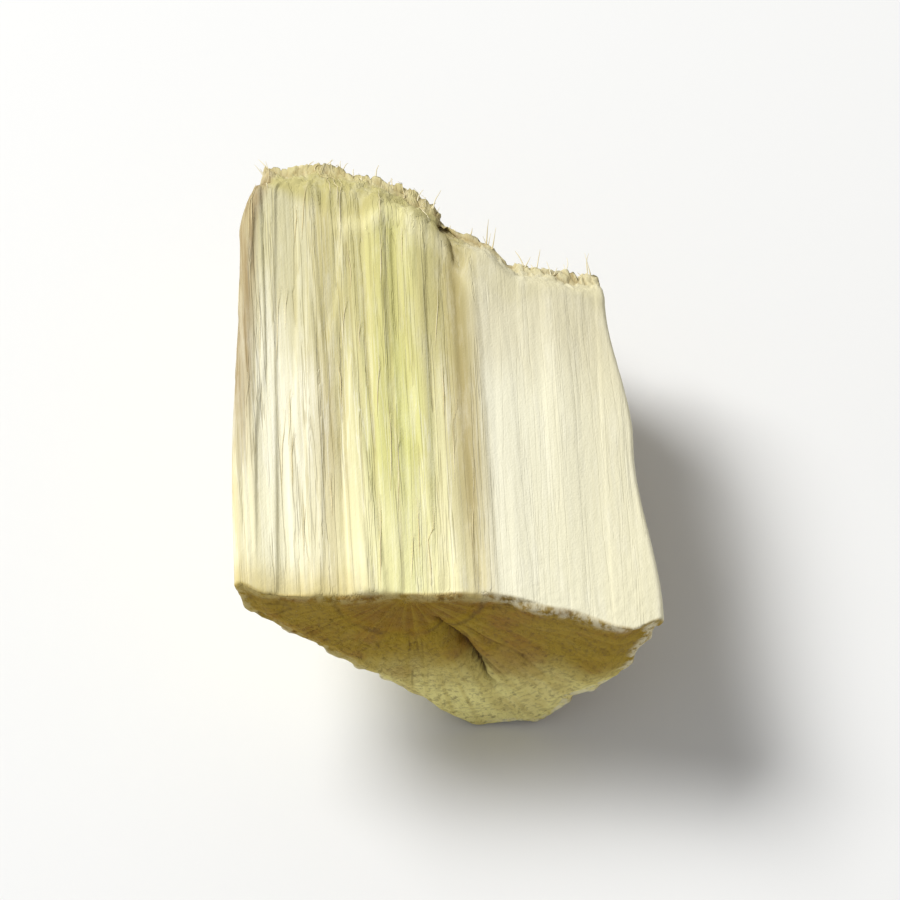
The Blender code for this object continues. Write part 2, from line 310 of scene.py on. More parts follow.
def marks(across, up, x, y, from_front, from_back):
    """The soft masks of the chip's faces, by name."""
    from_left, from_right = across * WIDTH, (1.0 - across) * WIDTH
    from_top, from_keel = (1.0 - up) * DEPTH, up * DEPTH
    gaps = np.sort(np.stack((from_left, from_right, from_top, from_keel, from_front, from_back)), axis=0)
    rind = eased(1.0 - np.minimum(from_right, from_keel) / RIND_DEPTH) * eased(from_top / RIND_BELOW_TOP)
    split_top = (from_top < TINY) * 1.0
    past_cambium = x - pith_x(y) - wood_radius(y)
    front_strip = eased(1.0 - from_front / FRONT_STRIP) * eased((FRONT_STRIP_RIGHT - x) / FRONT_STRIP_FADE)
    return {
        "cut_end": eased(1.0 - from_front / CUT_DEPTH),
        "torn_end": eased(1.0 - from_back / TORN_DEPTH),
        "rind": rind * eased((x - KEEL_MIDDLE_X + RIND_START_LEFT) / RIND_FADE),
        "split_top": split_top,
        "flank": eased(1.0 - from_left / FLANK_DEPTH) * eased((from_top - FLANK_BELOW_TOP) / FLANK_FADE),
        "open_wood": split_top * eased((OPEN_WOOD_FADE - past_cambium) / OPEN_WOOD_FADE),
        "rim": np.exp(-((gaps[1] / RIM_WIDTH) ** 2)),
        "crest": split_top * crest(x, from_back),
        "ledge": split_top * eased((crest_line(x) - from_back) / LEDGE_FADE),
        "left_edge": eased((EDGE_STRIP - from_left) / EDGE_STRIP_FADE) * (from_top < LEFT_EDGE_HEIGHT),
        "front_edge": split_top * front_strip,
    }


masks = marks(across, up, plain[:, 0], plain[:, 1], from_front, from_back)
print({name: int((mask > 0.5).sum()) for name, mask in masks.items()}, "corners in each mark")

# %% [markdown]
# ## The relief that the CAD chip has
#
# Dried root shrinks unevenly, so its faces run in low strands along the grain, and the bark wrinkles
# into furrows. Noise that is stretched along the grain gives both. The seeds and sizes are the CAD
# chip's own, so that the fine surface and the solid agree. Only the cambium's groove runs a little
# further left at the front than the solid's.

# %% Strands, furrows, the cambium's groove and the drying check
FIBRE_WIDTH, FIBRE_LENGTH, FIBRE_HEIGHT = 0.62, 6.0, 0.075
STRAND_WIDTH, STRAND_LENGTH, STRAND_HEIGHT = 1.6, 9.0, 0.11
FURROW_WIDTH, FURROW_LENGTH, FURROW_HEIGHT = 1.15, 7.0, 0.24
FURROW_LEVEL, FURROW_FADE = 1.25, 2.0
BARK_SMOOTHNESS, BARK_SMOOTH_FADE = 0.7, 0.5
TORN_WIDTH, TORN_LENGTH, TORN_HEIGHT = 1.1, 40.0, 0.30
SHRED_WIDTH, SHRED_HEIGHT = 0.46, 0.135
CUT_WIDTH, CUT_HEIGHT = 1.5, 0.07
STRAND_SEED, FIBRE_SEED, FURROW_SEED, CUT_SEED, TORN_SEED, SHRED_SEED = 3.0, 11.0, 23.0, 31.0, 41.0, 47.0
GROOVE_DEPTH, GROOVE_WIDTH = 0.13, 0.32
GROOVE_WANDER, GROOVE_WANDER_LENGTH, GROOVE_SEED = 0.15, 3.0, 5.0
SPLIT_DEPTH, SPLIT_LENGTH = 0.45, 2.6
CHECK_ANGLE, CHECK_START, CHECK_END = math.radians(-62.0), 1.1, 4.2
CHECK_DEPTH, CHECK_WIDTH = 0.30, 0.22


def grain(points, width, length, seed):
    """Noise from -1 to 1 at each point, stretched along the grain."""
    places = points / (width, length, width) + (0.0, seed, 0.0)
    return np.array([noise.noise(Vector(place)) for place in places])


def groove(points):
    """A mask of the groove along the cambium in the split face."""
    y = points[:, 1]
    wander = np.array([noise.noise(Vector((0.0, place / GROOVE_WANDER_LENGTH, GROOVE_SEED))) for place in y])
    middle = pith_x(y) + wood_radius(y) + GROOVE_WANDER * wander
    near_top = points[:, 2] >= TOP_HEIGHT - BARK_FALL - BACK_FALL
    return np.exp(-(((points[:, 0] - middle) / GROOVE_WIDTH) ** 2)) * near_top


def side_relief(points, is_top, back_distance):
    """How far the faces along the grain stand out from the plain form."""
    strands = STRAND_HEIGHT * grain(points, STRAND_WIDTH, STRAND_LENGTH, STRAND_SEED)
    fibres = FIBRE_HEIGHT * grain(points, FIBRE_WIDTH, FIBRE_LENGTH, FIBRE_SEED)
    past_cambium = points[:, 0] - pith_x(points[:, 1]) - wood_radius(points[:, 1])
    smoothness = BARK_SMOOTHNESS * eased(past_cambium / BARK_SMOOTH_FADE)
    opening = eased(1.0 - back_distance / SPLIT_LENGTH)
    top = (strands + fibres) * (1.0 - smoothness) - groove(points) * mixed(GROOVE_DEPTH, SPLIT_DEPTH, opening)
    furrows = 1.0 - 2.0 * np.abs(grain(points, FURROW_WIDTH, FURROW_LENGTH, FURROW_SEED))
    on_bark = eased((points[:, 0] - KEEL_MIDDLE_X) / FURROW_FADE)
    return np.where(is_top, top, strands + fibres + on_bark * FURROW_HEIGHT * (furrows - FURROW_LEVEL))


def check_relief(points):
    """How deep the drying check is at each point: a crack along one of the rays that leave the pith."""
    out_x, out_z = points[:, 0] - pith_x(points[:, 1]), points[:, 2] - TOP_HEIGHT
    along_ray = out_x * math.cos(CHECK_ANGLE) + out_z * math.sin(CHECK_ANGLE)
    off_ray = out_z * math.cos(CHECK_ANGLE) - out_x * math.sin(CHECK_ANGLE)
    share = np.clip((along_ray - CHECK_START) / (CHECK_END - CHECK_START), 0.0, 1.0)
    return -CHECK_DEPTH * np.sin(np.pi * share) * np.exp(-((off_ray / CHECK_WIDTH) ** 2))


print("the check runs", round(CHECK_END - CHECK_START, 1), "mm along its ray, and is", CHECK_DEPTH, "mm deep")

# %% The grid with its relief
def vertex_normals(mesh):
    """The mesh's vertex normals as one array."""
    normals = np.zeros(3 * len(mesh.vertices), np.float32)
    mesh.vertex_normals.foreach_get("vector", normals)
    return normals.reshape(-1, 3).astype(float)


def move_to(mesh, points):
    """Puts the mesh's vertices at these points, given in millimetres."""
    mesh.vertices.foreach_set("co", (points * MM).astype(np.float32).ravel())
    mesh.update()


move_to(grid, plain)
outward = vertex_normals(grid) * (1.0, 0.0, 1.0)
outward /= np.maximum(np.linalg.norm(outward, axis=-1), 1e-9)[:, None]
relief = side_relief(plain, masks["split_top"] > 0.5, length_at(1.0) - length_at(along))
front_relief = CUT_HEIGHT * grain(plain, CUT_WIDTH, CUT_WIDTH, CUT_SEED) + check_relief(plain)
back_relief = TORN_HEIGHT * grain(plain, TORN_WIDTH, TORN_LENGTH, TORN_SEED)
back_relief += SHRED_HEIGHT * grain(plain, SHRED_WIDTH, TORN_LENGTH, SHRED_SEED)
shaped = plain + outward * (relief * along_grain)[:, None]
shaped[:, 1] += is_back * back_relief - is_front * front_relief
shaped[:, 2] = np.maximum(shaped[:, 2], 0.0)
shaped = refilled(refilled(shaped, is_front), is_back)
move_to(grid, shaped)
masks["seam"] = groove(plain) * masks["split_top"]
for name, mask in masks.items():
    grid.attributes.new(name, "FLOAT", "POINT").data.foreach_set("value", mask.astype(np.float32))
print("the chip with its relief goes from", shaped.min(0).round(2), "to", shaped.max(0).round(2), "mm")

# %% [markdown]
# ## Node trees in few words
#
# Both geometry and shader trees are made of nodes joined by links. Here a Value stands for what one
# node puts out, so a tree can be written as plain sums: x * 2.0 + y adds two Math nodes and links
# them. In root_place, the position becomes millimetres from the root's own slanted axis, so that a
# pattern can follow the grain and go round the pith.

# %% Values that take sums
class Value:
    """What a node puts out. Sums with it add the Math nodes that do them."""

    def __init__(self, socket):
        self.socket, self.tree = socket, socket.id_data

    def __add__(self, other):
        return calc("ADD", self, other)

    def __sub__(self, other):
        return calc("SUBTRACT", self, other)

    def __rsub__(self, other):
        return calc("SUBTRACT", other, self)

    def __mul__(self, other):
        return calc("MULTIPLY", self, other)

    def __truediv__(self, other):
        return calc("DIVIDE", self, other)


print("a Value takes", " ".join("+-*/"), "and each adds a Math node")

# %% Helpers that add nodes
def by_key(sockets, key):
    """A socket by its number or its identifier, which stays the same where sockets share a name."""
    return sockets[key] if isinstance(key, int) else next(one for one in sockets if one.identifier == key)


def fill(node, inputs):
    """Fills a node's inputs, each with a plain value or with what another node puts out."""
    for key, value in inputs.items():
        if isinstance(value, Value):
            node.id_data.links.new(value.socket, by_key(node.inputs, key))
        else:
            by_key(node.inputs, key).default_value = value


def add(tree, kind, inputs=None, output=0, **settings):
    """Adds a node, sets it up, fills its inputs, and gives what it puts out."""
    node = tree.nodes.new(kind)
    for name, value in settings.items():
        setattr(node, name, value)
    fill(node, inputs or {})
    return Value(by_key(node.outputs, output))


def tree_of(values):
    """The tree that these values are worked out in."""
    return next(value.tree for value in values if isinstance(value, Value))


def calc(operation, *values):
    """One step of arithmetic."""
    return add(tree_of(values), "ShaderNodeMath", dict(enumerate(values)), operation=operation)


def vector_calc(operation, *values, output=0, **named_values):
    """One step of vector arithmetic."""
    inputs = {**dict(enumerate(values)), **named_values}
    return add(tree_of(values), "ShaderNodeVectorMath", inputs, output, operation=operation)


def parts(vector):
    """The x, y and z of a vector."""
    node = add(vector.tree, "ShaderNodeSeparateXYZ", {0: vector}).socket.node
    return [Value(socket) for socket in node.outputs]


def joined(x=0.0, y=0.0, z=0.0):
    """A vector from its x, y and z."""
    return add(tree_of((x, y, z)), "ShaderNodeCombineXYZ", {0: x, 1: y, 2: z})


print("each helper adds one node and gives what it puts out")

# %% Places measured from the root's axis
PER_MM = (1.0 / MM, 1.0 / MM, 1.0 / MM)


def in_mm(position):
    """The position in millimetres."""
    return vector_calc("MULTIPLY", position, PER_MM)


def root_place(position):
    """The position in millimetres, with x and z measured from the root's slanted axis."""
    x, y, z = parts(in_mm(position))
    x, z = y * PITH_SLANT + x - PITH_X, z - TOP_HEIGHT
    return joined(x, y, z), x, y, z


def ring_share(x, y, z):
    """How far out from the pith a point is, where 1 is the cambium."""
    return calc("SQRT", x * x + z * z) / (WOOD_RADIUS - y * WOOD_TAPER)


def round_the_pith(x, y, z, ring):
    """A place given by its angle about the pith, its place along the root, and its ring."""
    return joined(calc("ARCTAN2", z, x), y, ring)


print("the axis lies", TOP_HEIGHT, "mm up, at x =", PITH_X, "mm, and drifts", PITH_SLANT, "mm left per mm")

# %% [markdown]
# ## Patterns
#
# Nearly every mark on dried root is drawn out along the grain, so nearly every pattern here is noise
# with many waves per millimetre across the root and few along it. A table keeps each one's numbers:
# its waves across, along and down, its detail, its roughness and its seed, so that no two patterns
# repeat each other. Patches also give the span of noise over which they fade in, and thin lines,
# which run where the noise crosses its middle value, give their width.

# %% Noise of the relief, and helpers for patterns
NOISES = {
    "laths": ((1.5, 0.045, 1.5), 1.0, 0.5, 4.0),
    "fibres": ((4.2, 0.07, 4.2), 3.0, 0.6, 9.0),
    "vessels": ((6.5, 0.05, 6.5), 1.0, 0.5, 15.0, 0.56, 0.70),
    "meal": ((8.0, 5.0, 8.0), 3.0, 0.6, 21.0),
    "furrows": ((1.3, 0.09, 1.3), 2.0, 0.5, 51.0, 0.05),
    "fine furrows": ((3.4, 0.22, 3.4), 2.0, 0.5, 55.0, 0.06),
    "scar's edge": ((2.5, 2.5, 2.5), 2.0, 0.5, 57.0),
    "cracks": ((2.6, 0.02, 0.35), 2.0, 0.5, 91.0),
    "cracked parts": ((1.4, 0.02, 1.1), 2.0, 0.5, 92.0, 0.40, 0.56),
    "check's line": ((1.6, 0.1, 1.6), 3.0, 0.6, 93.0),
    "rays": ((16.0, 0.05, 0.5), 3.0, 0.6, 97.0, 0.40, 0.66),
}


def ramp(value, low, high, to_low=0.0, to_high=1.0):
    """A smooth step: to_low below low, to_high above high."""
    ends = {"Value": value, "From Min": low, "From Max": high, "To Min": to_low, "To Max": to_high}
    return add(value.tree, "ShaderNodeMapRange", ends, interpolation_type="SMOOTHSTEP")


def band(value, rise, fall):
    """1 between two smooth steps, the one that rises and the one that falls."""
    return ramp(value, *rise) * ramp(value, *fall, 1.0, 0.0)


def thin(value, width):
    """A thin line where the value is 0."""
    return ramp(calc("ABSOLUTE", value), 0.0, width, 1.0, 0.0)


def noise_at(place, name):
    """The named noise, of about 0 to 1."""
    waves, detail, roughness, seed = NOISES[name][:4]
    moved = vector_calc("MULTIPLY_ADD", place, waves, (seed, seed, seed))
    inputs = {"Vector": moved, "Scale": 1.0, "Detail": detail, "Roughness": roughness}
    return add(place.tree, "ShaderNodeTexNoise", inputs, "Fac")


def patches(place, name, to_low=0.0, to_high=1.0):
    """Patches of the named noise."""
    return ramp(noise_at(place, name), *NOISES[name][4:], to_low, to_high)


def lines(place, name):
    """Crisp thin lines of the named noise, where two fibres part or the skin has wrinkled."""
    return thin(noise_at(place, name) - 0.5, NOISES[name][4])


def bend(place, waves, detail, reach):
    """How far a point is bent aside, as noise that differs in all three directions."""
    soft = add(place.tree, "ShaderNodeTexNoise", {"Vector": place, "Scale": waves, "Detail": detail}, "Color")
    return vector_calc("SCALE", vector_calc("SUBTRACT", soft, (0.5, 0.5, 0.5)), Scale=reach)


print("the relief draws on", len(NOISES), "kinds of noise")

# %% Patterns that the relief and the finish share
CRACK_RISE, CRACK_FALL = (0.9, 1.5), (2.2, 2.8)
CHECK_RISE, CHECK_FALL, CHECK_LINE_WIDTH, CHECK_WOBBLE = (0.9, 1.5), (3.3, 4.2), 0.075, 0.5
FINE_FURROW_SHARE = 0.5
SCAR_PLACE, SCAR_SHAPE, SCAR_WOBBLE = (3.15, -1.6, 2.1), (1.0, 1.5, 1.0), 0.5
SCAR_MIDDLE, LIP_RISE, LIP_FALL = (0.12, 0.42), (0.30, 0.48), (0.55, 0.95)


def radial_cracks(around, ring, width):
    """Thin lines that leave the pith like spokes, where a cut end splits as it dries."""
    spokes = thin(noise_at(around, "cracks") - 0.5, width)
    return spokes * band(ring, CRACK_RISE, CRACK_FALL) * patches(around, "cracked parts")


def check_line(place, x, z):
    """The fine crack along the bottom of the drying check."""
    cosine, sine = math.cos(CHECK_ANGLE), math.sin(CHECK_ANGLE)
    reach = x * cosine + z * sine
    off = z * cosine - x * sine + (noise_at(place, "check's line") - 0.5) * CHECK_WOBBLE
    return thin(off, CHECK_LINE_WIDTH) * band(reach, CHECK_RISE, CHECK_FALL)


def rind_furrows(place):
    """Narrow furrows where the rind has shrunk: lines that run on along the root."""
    return calc("MAXIMUM", lines(place, "furrows"), lines(place, "fine furrows") * FINE_FURROW_SHARE)


def root_scar(position):
    """The scar of a side root: 1 in its middle, and the raised lip round it."""
    from_middle = vector_calc("SUBTRACT", in_mm(position), SCAR_PLACE)
    apart = vector_calc("LENGTH", vector_calc("MULTIPLY", from_middle, SCAR_SHAPE), output="Value")
    apart = apart + (noise_at(in_mm(position), "scar's edge") - 0.5) * SCAR_WOBBLE
    return ramp(apart, *SCAR_MIDDLE, 1.0, 0.0), band(apart, LIP_RISE, LIP_FALL)


print("a side root left a scar at", SCAR_PLACE, "mm, about", 2 * SCAR_MIDDLE[1], "mm across")

# %% [markdown]
# ## The small relief
#
# Split wood breaks in long thin laths, with steps between them. Its vessels leave fine grooves. The
# white bark is mealy with starch, so it is smooth but finely pitted. Across the grain, the knife
# leaves pores, and the tear leaves a brush of fibre bundles, each broken at its own length. All of
# this is a rule over a surface, so a geometry tree does it: it moves every corner along its normal
# by the height that these patterns add up to.

# %% Heights of the small relief
RELIEF_MM = {
    "Lath Height": 0.055,
    "Fibre Height": 0.050,
    "Vessel Depth": 0.035,
    "Meal Height": 0.016,
    "Furrow Depth": 0.07,
    "Crest Height": 0.065,
    "Scar Depth": 0.14,
    "Pore Depth": 0.035,
    "Ray Height": 0.022,
    "Crack Depth": 0.045,
    "Check Depth": 0.20,
    "Clump Length": 0.26,
    "Bundle Length": 0.16,
    "Crevice Depth": 0.06,
}
print("the small relief has", len(RELIEF_MM), "named heights, depths and lengths, in mm")

# %% Helpers for geometry trees
def new_tree(name, values):
    """A geometry tree with an input for the geometry and one for each named value."""
    tree = bpy.data.node_groups.new(name, "GeometryNodeTree")
    tree.interface.new_socket("Geometry", in_out="INPUT", socket_type="NodeSocketGeometry")
    for key, value in values.items():
        kind = "NodeSocketString" if isinstance(value, str) else "NodeSocketFloat"
        tree.interface.new_socket(key, in_out="INPUT", socket_type=kind)
    tree.interface.new_socket("Geometry", in_out="OUTPUT", socket_type="NodeSocketGeometry")
    given = tree.nodes.new("NodeGroupInput").outputs
    return tree, {key: Value(given[key]) for key in ("Geometry", *values)}


def named(tree, name):
    """One of the marks on the grid, for a geometry tree."""
    return add(tree, "GeometryNodeInputNamedAttribute", {"Name": name}, data_type="FLOAT")


def painted_output(geometry, material):
    """Ends a tree: one smooth mesh with no instances left in it, painted with the material."""
    whole = add(geometry.tree, "GeometryNodeRealizeInstances", {0: geometry})
    smooth = add(geometry.tree, "GeometryNodeSetShadeSmooth", {0: whole})
    painted = add(geometry.tree, "GeometryNodeSetMaterial", {"Geometry": smooth, "Material": material})
    fill(geometry.tree.nodes.new("NodeGroupOutput"), {0: painted})
    return geometry.tree


def through_tree(name, source, tree, values):
    """A plain mesh object: the source mesh, run through a geometry tree with these input values."""
    holder = new_object(name + "_source", source)
    modifier = holder.modifiers.new(name, "NODES")
    modifier.node_group = tree
    sockets = {item.name: item.identifier for item in tree.interface.items_tree if item.in_out == "INPUT"}
    for key, value in values.items():
        modifier[sockets[key]] = value
    mesh = applied(holder)
    mesh.name = name
    return new_object(name, mesh)


print("every geometry tree ends in Realize Instances, Set Shade Smooth and Set Material")

# %% Relief along the grain
BARK_SPAN = (1.6, 2.1)
RELIEF_WOOD_SPAN = (0.95, 1.15)
LATHS, LATH_RISER = 9.0, 0.22
BARK_SMOOTHED, FLANK_ROUGHENED, MEAL_ON_SIDES, LIP_SHARE, RIM_SMOOTHED = 0.8, 0.9, 2.0, 0.6, 0.5


def lath_steps(place):
    """The level of each long thin lath, with a steep riser between one and the next."""
    laths = noise_at(place, "laths") * LATHS
    step = calc("FLOOR", laths)
    return step + ramp(laths - step, 0.0, LATH_RISER) - LATHS / 2


def grain_relief(given, marked, position, place, x, ring, meal):
    """The height of faces that run along the grain: laths, fibres, vessels, furrows and the scar."""
    laths = lath_steps(place) * given["Lath Height"]
    fibres = (noise_at(place, "fibres") - 0.5) * given["Fibre Height"]
    wood = ramp(ring, *RELIEF_WOOD_SPAN, 1.0, 0.0)
    vessels = patches(place, "vessels") * wood * given["Vessel Depth"]
    white_bark = marked["split_top"] * ramp(x, *BARK_SPAN)
    rough = 1.0 - white_bark * BARK_SMOOTHED + marked["flank"] * FLANK_ROUGHENED
    furrows = rind_furrows(place) * marked["rind"] * given["Furrow Depth"]
    scar, lip = root_scar(position)
    scar = (scar - lip * LIP_SHARE) * given["Scar Depth"]
    height = (laths + fibres - vessels) * rough + meal * MEAL_ON_SIDES - furrows - scar
    side = 1.0 - calc("MAXIMUM", marked["cut_end"], marked["torn_end"])
    side = side * (1.0 - marked["rim"] * RIM_SMOOTHED)
    return height * side + marked["crest"] * given["Crest Height"]


print("the laths step up and down by", RELIEF_MM["Lath Height"], "mm, in about", int(LATHS), "levels")

# %% Relief of the two ends
PORES_PER_MM, PORE_EDGE = (6.0, 0.1, 6.0), (0.10, 0.32)
RAY_RISE = (0.3, 1.2)
CRACK_WIDTH = 0.05
BUNDLE_LENGTHEN, BUNDLE_BEND = (1.0, 0.03, 1.0), (2.2, 2.0, 0.55)
CLUMPS_PER_MM, CLUMP_SOFTNESS = 1.5, 0.5
BUNDLES_PER_MM, CREVICE_WIDTH = 5.2, 0.14
USUAL_LENGTH, SHORT_BUNDLES, SHORT_SHADE, CREVICE_SHADE = 0.6, (0.2, 1.2), 0.5, 0.4


def cell_pattern(place, scale, feature, output, softness=1.0):
    """A pattern of small cells: how far a point is from a cell's middle or edge, or the cell's colour."""
    inputs = {"Vector": place, "Scale": scale, "Smoothness": softness}
    return add(place.tree, "ShaderNodeTexVoronoi", inputs, output, feature=feature)


def cut_relief(given, place, x, y, z, ring, meal):
    """The height of the cut end: pores, rays and cracks round the pith, and the drying check."""
    pores = cell_pattern(vector_calc("MULTIPLY", place, PORES_PER_MM), 1.0, "F1", "Distance")
    pores = ramp(pores, *PORE_EDGE, 1.0, 0.0) * given["Pore Depth"]
    around = round_the_pith(x, y, z, ring)
    rays = patches(around, "rays") * ramp(ring, *RAY_RISE) * given["Ray Height"]
    cracks = radial_cracks(around, ring, CRACK_WIDTH) * given["Crack Depth"]
    return meal - pores + rays - cracks - check_line(place, x, z) * given["Check Depth"]


def torn_relief(given, place):
    """How far each broken bundle of the torn end reaches, and how deep in shade it lies."""
    flat = vector_calc("MULTIPLY", place, BUNDLE_LENGTHEN)
    bent = vector_calc("ADD", flat, bend(flat, *BUNDLE_BEND))
    clump = parts(cell_pattern(bent, CLUMPS_PER_MM, "SMOOTH_F1", "Color", CLUMP_SOFTNESS))[0]
    bundle = parts(cell_pattern(bent, BUNDLES_PER_MM, "F1", "Color"))[0]
    crevice = cell_pattern(bent, BUNDLES_PER_MM, "DISTANCE_TO_EDGE", "Distance")
    crevice = ramp(crevice, 0.0, CREVICE_WIDTH, 1.0, 0.0)
    shade = ramp(bundle + clump, *SHORT_BUNDLES, SHORT_SHADE, 0.0) + crevice * CREVICE_SHADE
    reach = (clump - USUAL_LENGTH) * given["Clump Length"] + (bundle - USUAL_LENGTH) * given["Bundle Length"]
    return reach - crevice * given["Crevice Depth"], shade


print("the torn end is a brush of bundles", round(1 / BUNDLES_PER_MM, 2), "mm thick")

# %% The whole relief tree
RELIEF_MARKS = ("cut_end", "torn_end", "split_top", "rim", "rind", "crest", "flank")


def relief_tree(material):
    """The tree that raises the small relief on the grid and paints it."""
    tree, given = new_tree("small_relief", RELIEF_MM)
    position = add(tree, "GeometryNodeInputPosition")
    place, x, y, z = root_place(position)
    ring = ring_share(x, y, z)
    marked = {name: named(tree, name) for name in RELIEF_MARKS}
    meal = (noise_at(place, "meal") - 0.5) * given["Meal Height"]
    along = grain_relief(given, marked, position, place, x, ring, meal)
    across = cut_relief(given, place, x, y, z, ring, meal) * marked["cut_end"]
    torn, shade = torn_relief(given, place)

    outward = vector_calc("SCALE", add(tree, "GeometryNodeInputNormal"), Scale=(along + across) * MM)
    offset = vector_calc("ADD", outward, joined(y=torn * marked["torn_end"] * MM))
    raised = add(tree, "GeometryNodeSetPosition", {"Geometry": given["Geometry"], "Offset": offset})

    x_now, y_now, z_now = parts(add(tree, "GeometryNodeInputPosition"))
    over_floor = joined(x_now, y_now, calc("MAXIMUM", z_now, 0.0))
    rested = add(tree, "GeometryNodeSetPosition", {"Geometry": raised, "Position": over_floor})
    # Keeps the painted shade between the bundles and on the short ones, for the finish.
    inputs = {"Geometry": rested, "Name": "between_bundles", "Value": shade}
    shaded = add(tree, "GeometryNodeStoreNamedAttribute", inputs, data_type="FLOAT", domain="POINT")
    return painted_output(shaded, material)


print("the relief tree reads", len(RELIEF_MARKS), "of the grid's", len(masks), "marks")

# %% [markdown]
# ## The finish of dried root
#
# One solid pattern paints the whole chip. It is worked out from the root's axis, so it fits on every
# face: where the chip is split along the grain the wood shows as stripes, and where it is cut across
# the same wood shows as rings and rays. From the pith outwards the colours go greenish cream, cream
# wood with darker vessel lines, the brown cambium, and white bark, with a tan skin at the rind.

# %% Colours of the root
def linear(red, green, blue):
    """A colour given from 0 to 255, as the linear colour that a shader takes."""
    shown = [part / 255.0 for part in (red, green, blue)]
    return [part / 12.92 if part <= 0.04045 else ((part + 0.055) / 1.055) ** 2.4 for part in shown] + [1.0]


RING_COLOURS = (
    (0.00, linear(216, 216, 142)),
    (0.35, linear(225, 222, 157)),
    (0.60, linear(235, 230, 180)),
    (0.84, linear(233, 226, 178)),
    (0.98, linear(206, 194, 148)),
    (1.12, linear(218, 208, 168)),
    (1.35, linear(238, 234, 209)),
    (2.00, linear(242, 238, 211)),
    (3.20, linear(238, 232, 200)),
)
RING_SPAN = 3.5
LINE_COLOUR = linear(184, 172, 116)
VESSEL_COLOUR = linear(160, 144, 94)
GROOVE_SHADE_COLOUR = linear(160, 146, 100)
EDGE_COLOUR = linear(164, 145, 106)
PITH_COLOUR = linear(216, 214, 130)
WOOD_RIM, BARK_RIM_HIGHLIGHT = linear(208, 192, 130), linear(246, 240, 210)
# Painted shade for the back of the split face and its ledge, and a painted highlight for its front.
SHADY_WOOD = linear(188, 179, 120)
SHADY_BARK = linear(212, 203, 168)
SUNNY_WOOD = linear(253, 247, 205)
# A pale painted highlight along the low crest in front of the torn end.
CREST_HIGHLIGHT = linear(240, 232, 184)
RIND_COLOUR = linear(222, 208, 166)
TAN_RIND = linear(196, 174, 122)
SKIN_COLOUR = linear(140, 108, 66)
# The cut end's own browns, made darker still as painted shade.
END_WOOD = linear(132, 92, 10)
END_BARK = linear(160, 130, 12)
END_RED = linear(146, 88, 18)
END_RAY = linear(188, 160, 48)
END_PALE = linear(254, 244, 160)
CRACK_COLOUR = linear(84, 58, 28)
TORN_COLOUR = linear(214, 202, 152)
SHADE_IN_CREVICES = linear(150, 126, 76)
# Starch meal, and the painted sheen along the grain.
MEAL_AND_SHEEN_COLOUR = linear(250, 247, 232)
print("the colours change at these shares of the wood's radius:", [place for place, colour in RING_COLOURS])

# %% Noise of the finish
NOISES |= {
    "broad lines": ((1.5, 0.05, 1.5), 2.0, 0.5, 31.0, 0.42, 0.66),
    "fine lines": ((6.0, 0.07, 6.0), 3.0, 0.6, 37.0, 0.44, 0.68),
    "hair lines": ((15.0, 0.22, 15.0), 2.0, 0.6, 39.0, 0.40, 0.70),
    "gaps": ((3.6, 0.09, 3.6), 3.0, 0.6, 43.0, 0.030),
    "sheen": ((4.4, 0.12, 4.4), 3.0, 0.6, 47.0, 0.035),
    # Sways the edge between the painted highlight and the painted shade on the split face.
    "shade's edge": ((0.9, 0.45, 0.9), 3.0, 0.6, 41.0),
    "keel's light": ((1.2, 0.05, 1.2), 2.0, 0.5, 99.0),
    "mottles": ((0.9, 0.1, 0.9), 3.0, 0.6, 94.0, 0.44, 0.62),
    "bast": ((26.0, 0.05, 17.0), 2.0, 0.5, 95.0, 0.50, 0.64),
    "pores": ((11.0, 0.1, 11.0), 2.0, 0.5, 96.0, 0.56, 0.66),
    "broken ring": ((3.0, 0.05, 1.0), 2.0, 0.5, 98.0, 0.38, 0.60),
    "tan rind": ((0.8, 0.10, 0.8), 3.0, 0.6, 52.0, 0.38, 0.64),
    "skin": ((1.6, 0.45, 1.6), 4.0, 0.65, 53.0),
    "wrinkles": ((2.6, 0.20, 2.6), 3.0, 0.6, 58.0, 0.030),
    "pale wrinkles": ((3.4, 0.25, 3.4), 3.0, 0.6, 59.0, 0.035),
    "rings' sway": ((0.45, 0.12, 0.45), 2.0, 0.5, 2.0),
    "streaks": ((9.0, 0.30, 9.0), 3.0, 0.6, 66.0, 0.36, 0.62),
    "dust": ((3.4, 0.7, 3.4), 6.0, 0.7, 61.0, 0.46, 0.72),
    "rim patches": ((3.6, 0.5, 3.6), 4.0, 0.65, 64.0, 0.40, 0.58),
    "hair": ((14.0, 0.45, 14.0), 3.0, 0.6, 71.0),
    "starch": ((22.0, 16.0, 22.0), 2.0, 0.6, 81.0),
    "fibre's tone": ((1.5, 0.6, 1.5), 2.0, 0.5, 6.0, 0.35, 0.65),
}
print("there are now", len(NOISES), "kinds of noise")

# %% Helpers for colours
def new_material(name):
    """A material, its node tree and its shader."""
    material = bpy.data.materials.new(name)
    material.use_nodes = True
    return material, material.node_tree, material.node_tree.nodes["Principled BSDF"]


def mark(tree, name):
    """One of the marks on the mesh, for a shader."""
    return add(tree, "ShaderNodeAttribute", None, "Fac", attribute_name=name)


def mix_colour(share, first, second):
    """Two colours mixed by a share, which may vary over the surface."""
    inputs = {"Factor_Float": share, "A_Color": first, "B_Color": second}
    return add(tree_of(inputs.values()), "ShaderNodeMix", inputs, "Result_Color", data_type="RGBA")


def layered(colour, *layers):
    """A colour with others over it. Each layer is a colour and the share of it that shows."""
    for over, share in layers:
        colour = mix_colour(share, colour, over)
    return colour


def ring_colours(ring):
    """The root's colours from the pith outwards."""
    colour = add(ring.tree, "ShaderNodeValToRGB", {"Fac": ring / RING_SPAN})
    stops = colour.socket.node.color_ramp.elements
    while len(stops) < len(RING_COLOURS):
        stops.new(0.5)
    for stop, (place, ring_colour) in zip(stops, RING_COLOURS):
        stop.position = place / RING_SPAN
    for stop, (place, ring_colour) in zip(stops, RING_COLOURS):
        stop.color = ring_colour
    return colour


print("the last ring colour holds from", RING_COLOURS[-1][0], "times the wood's radius")
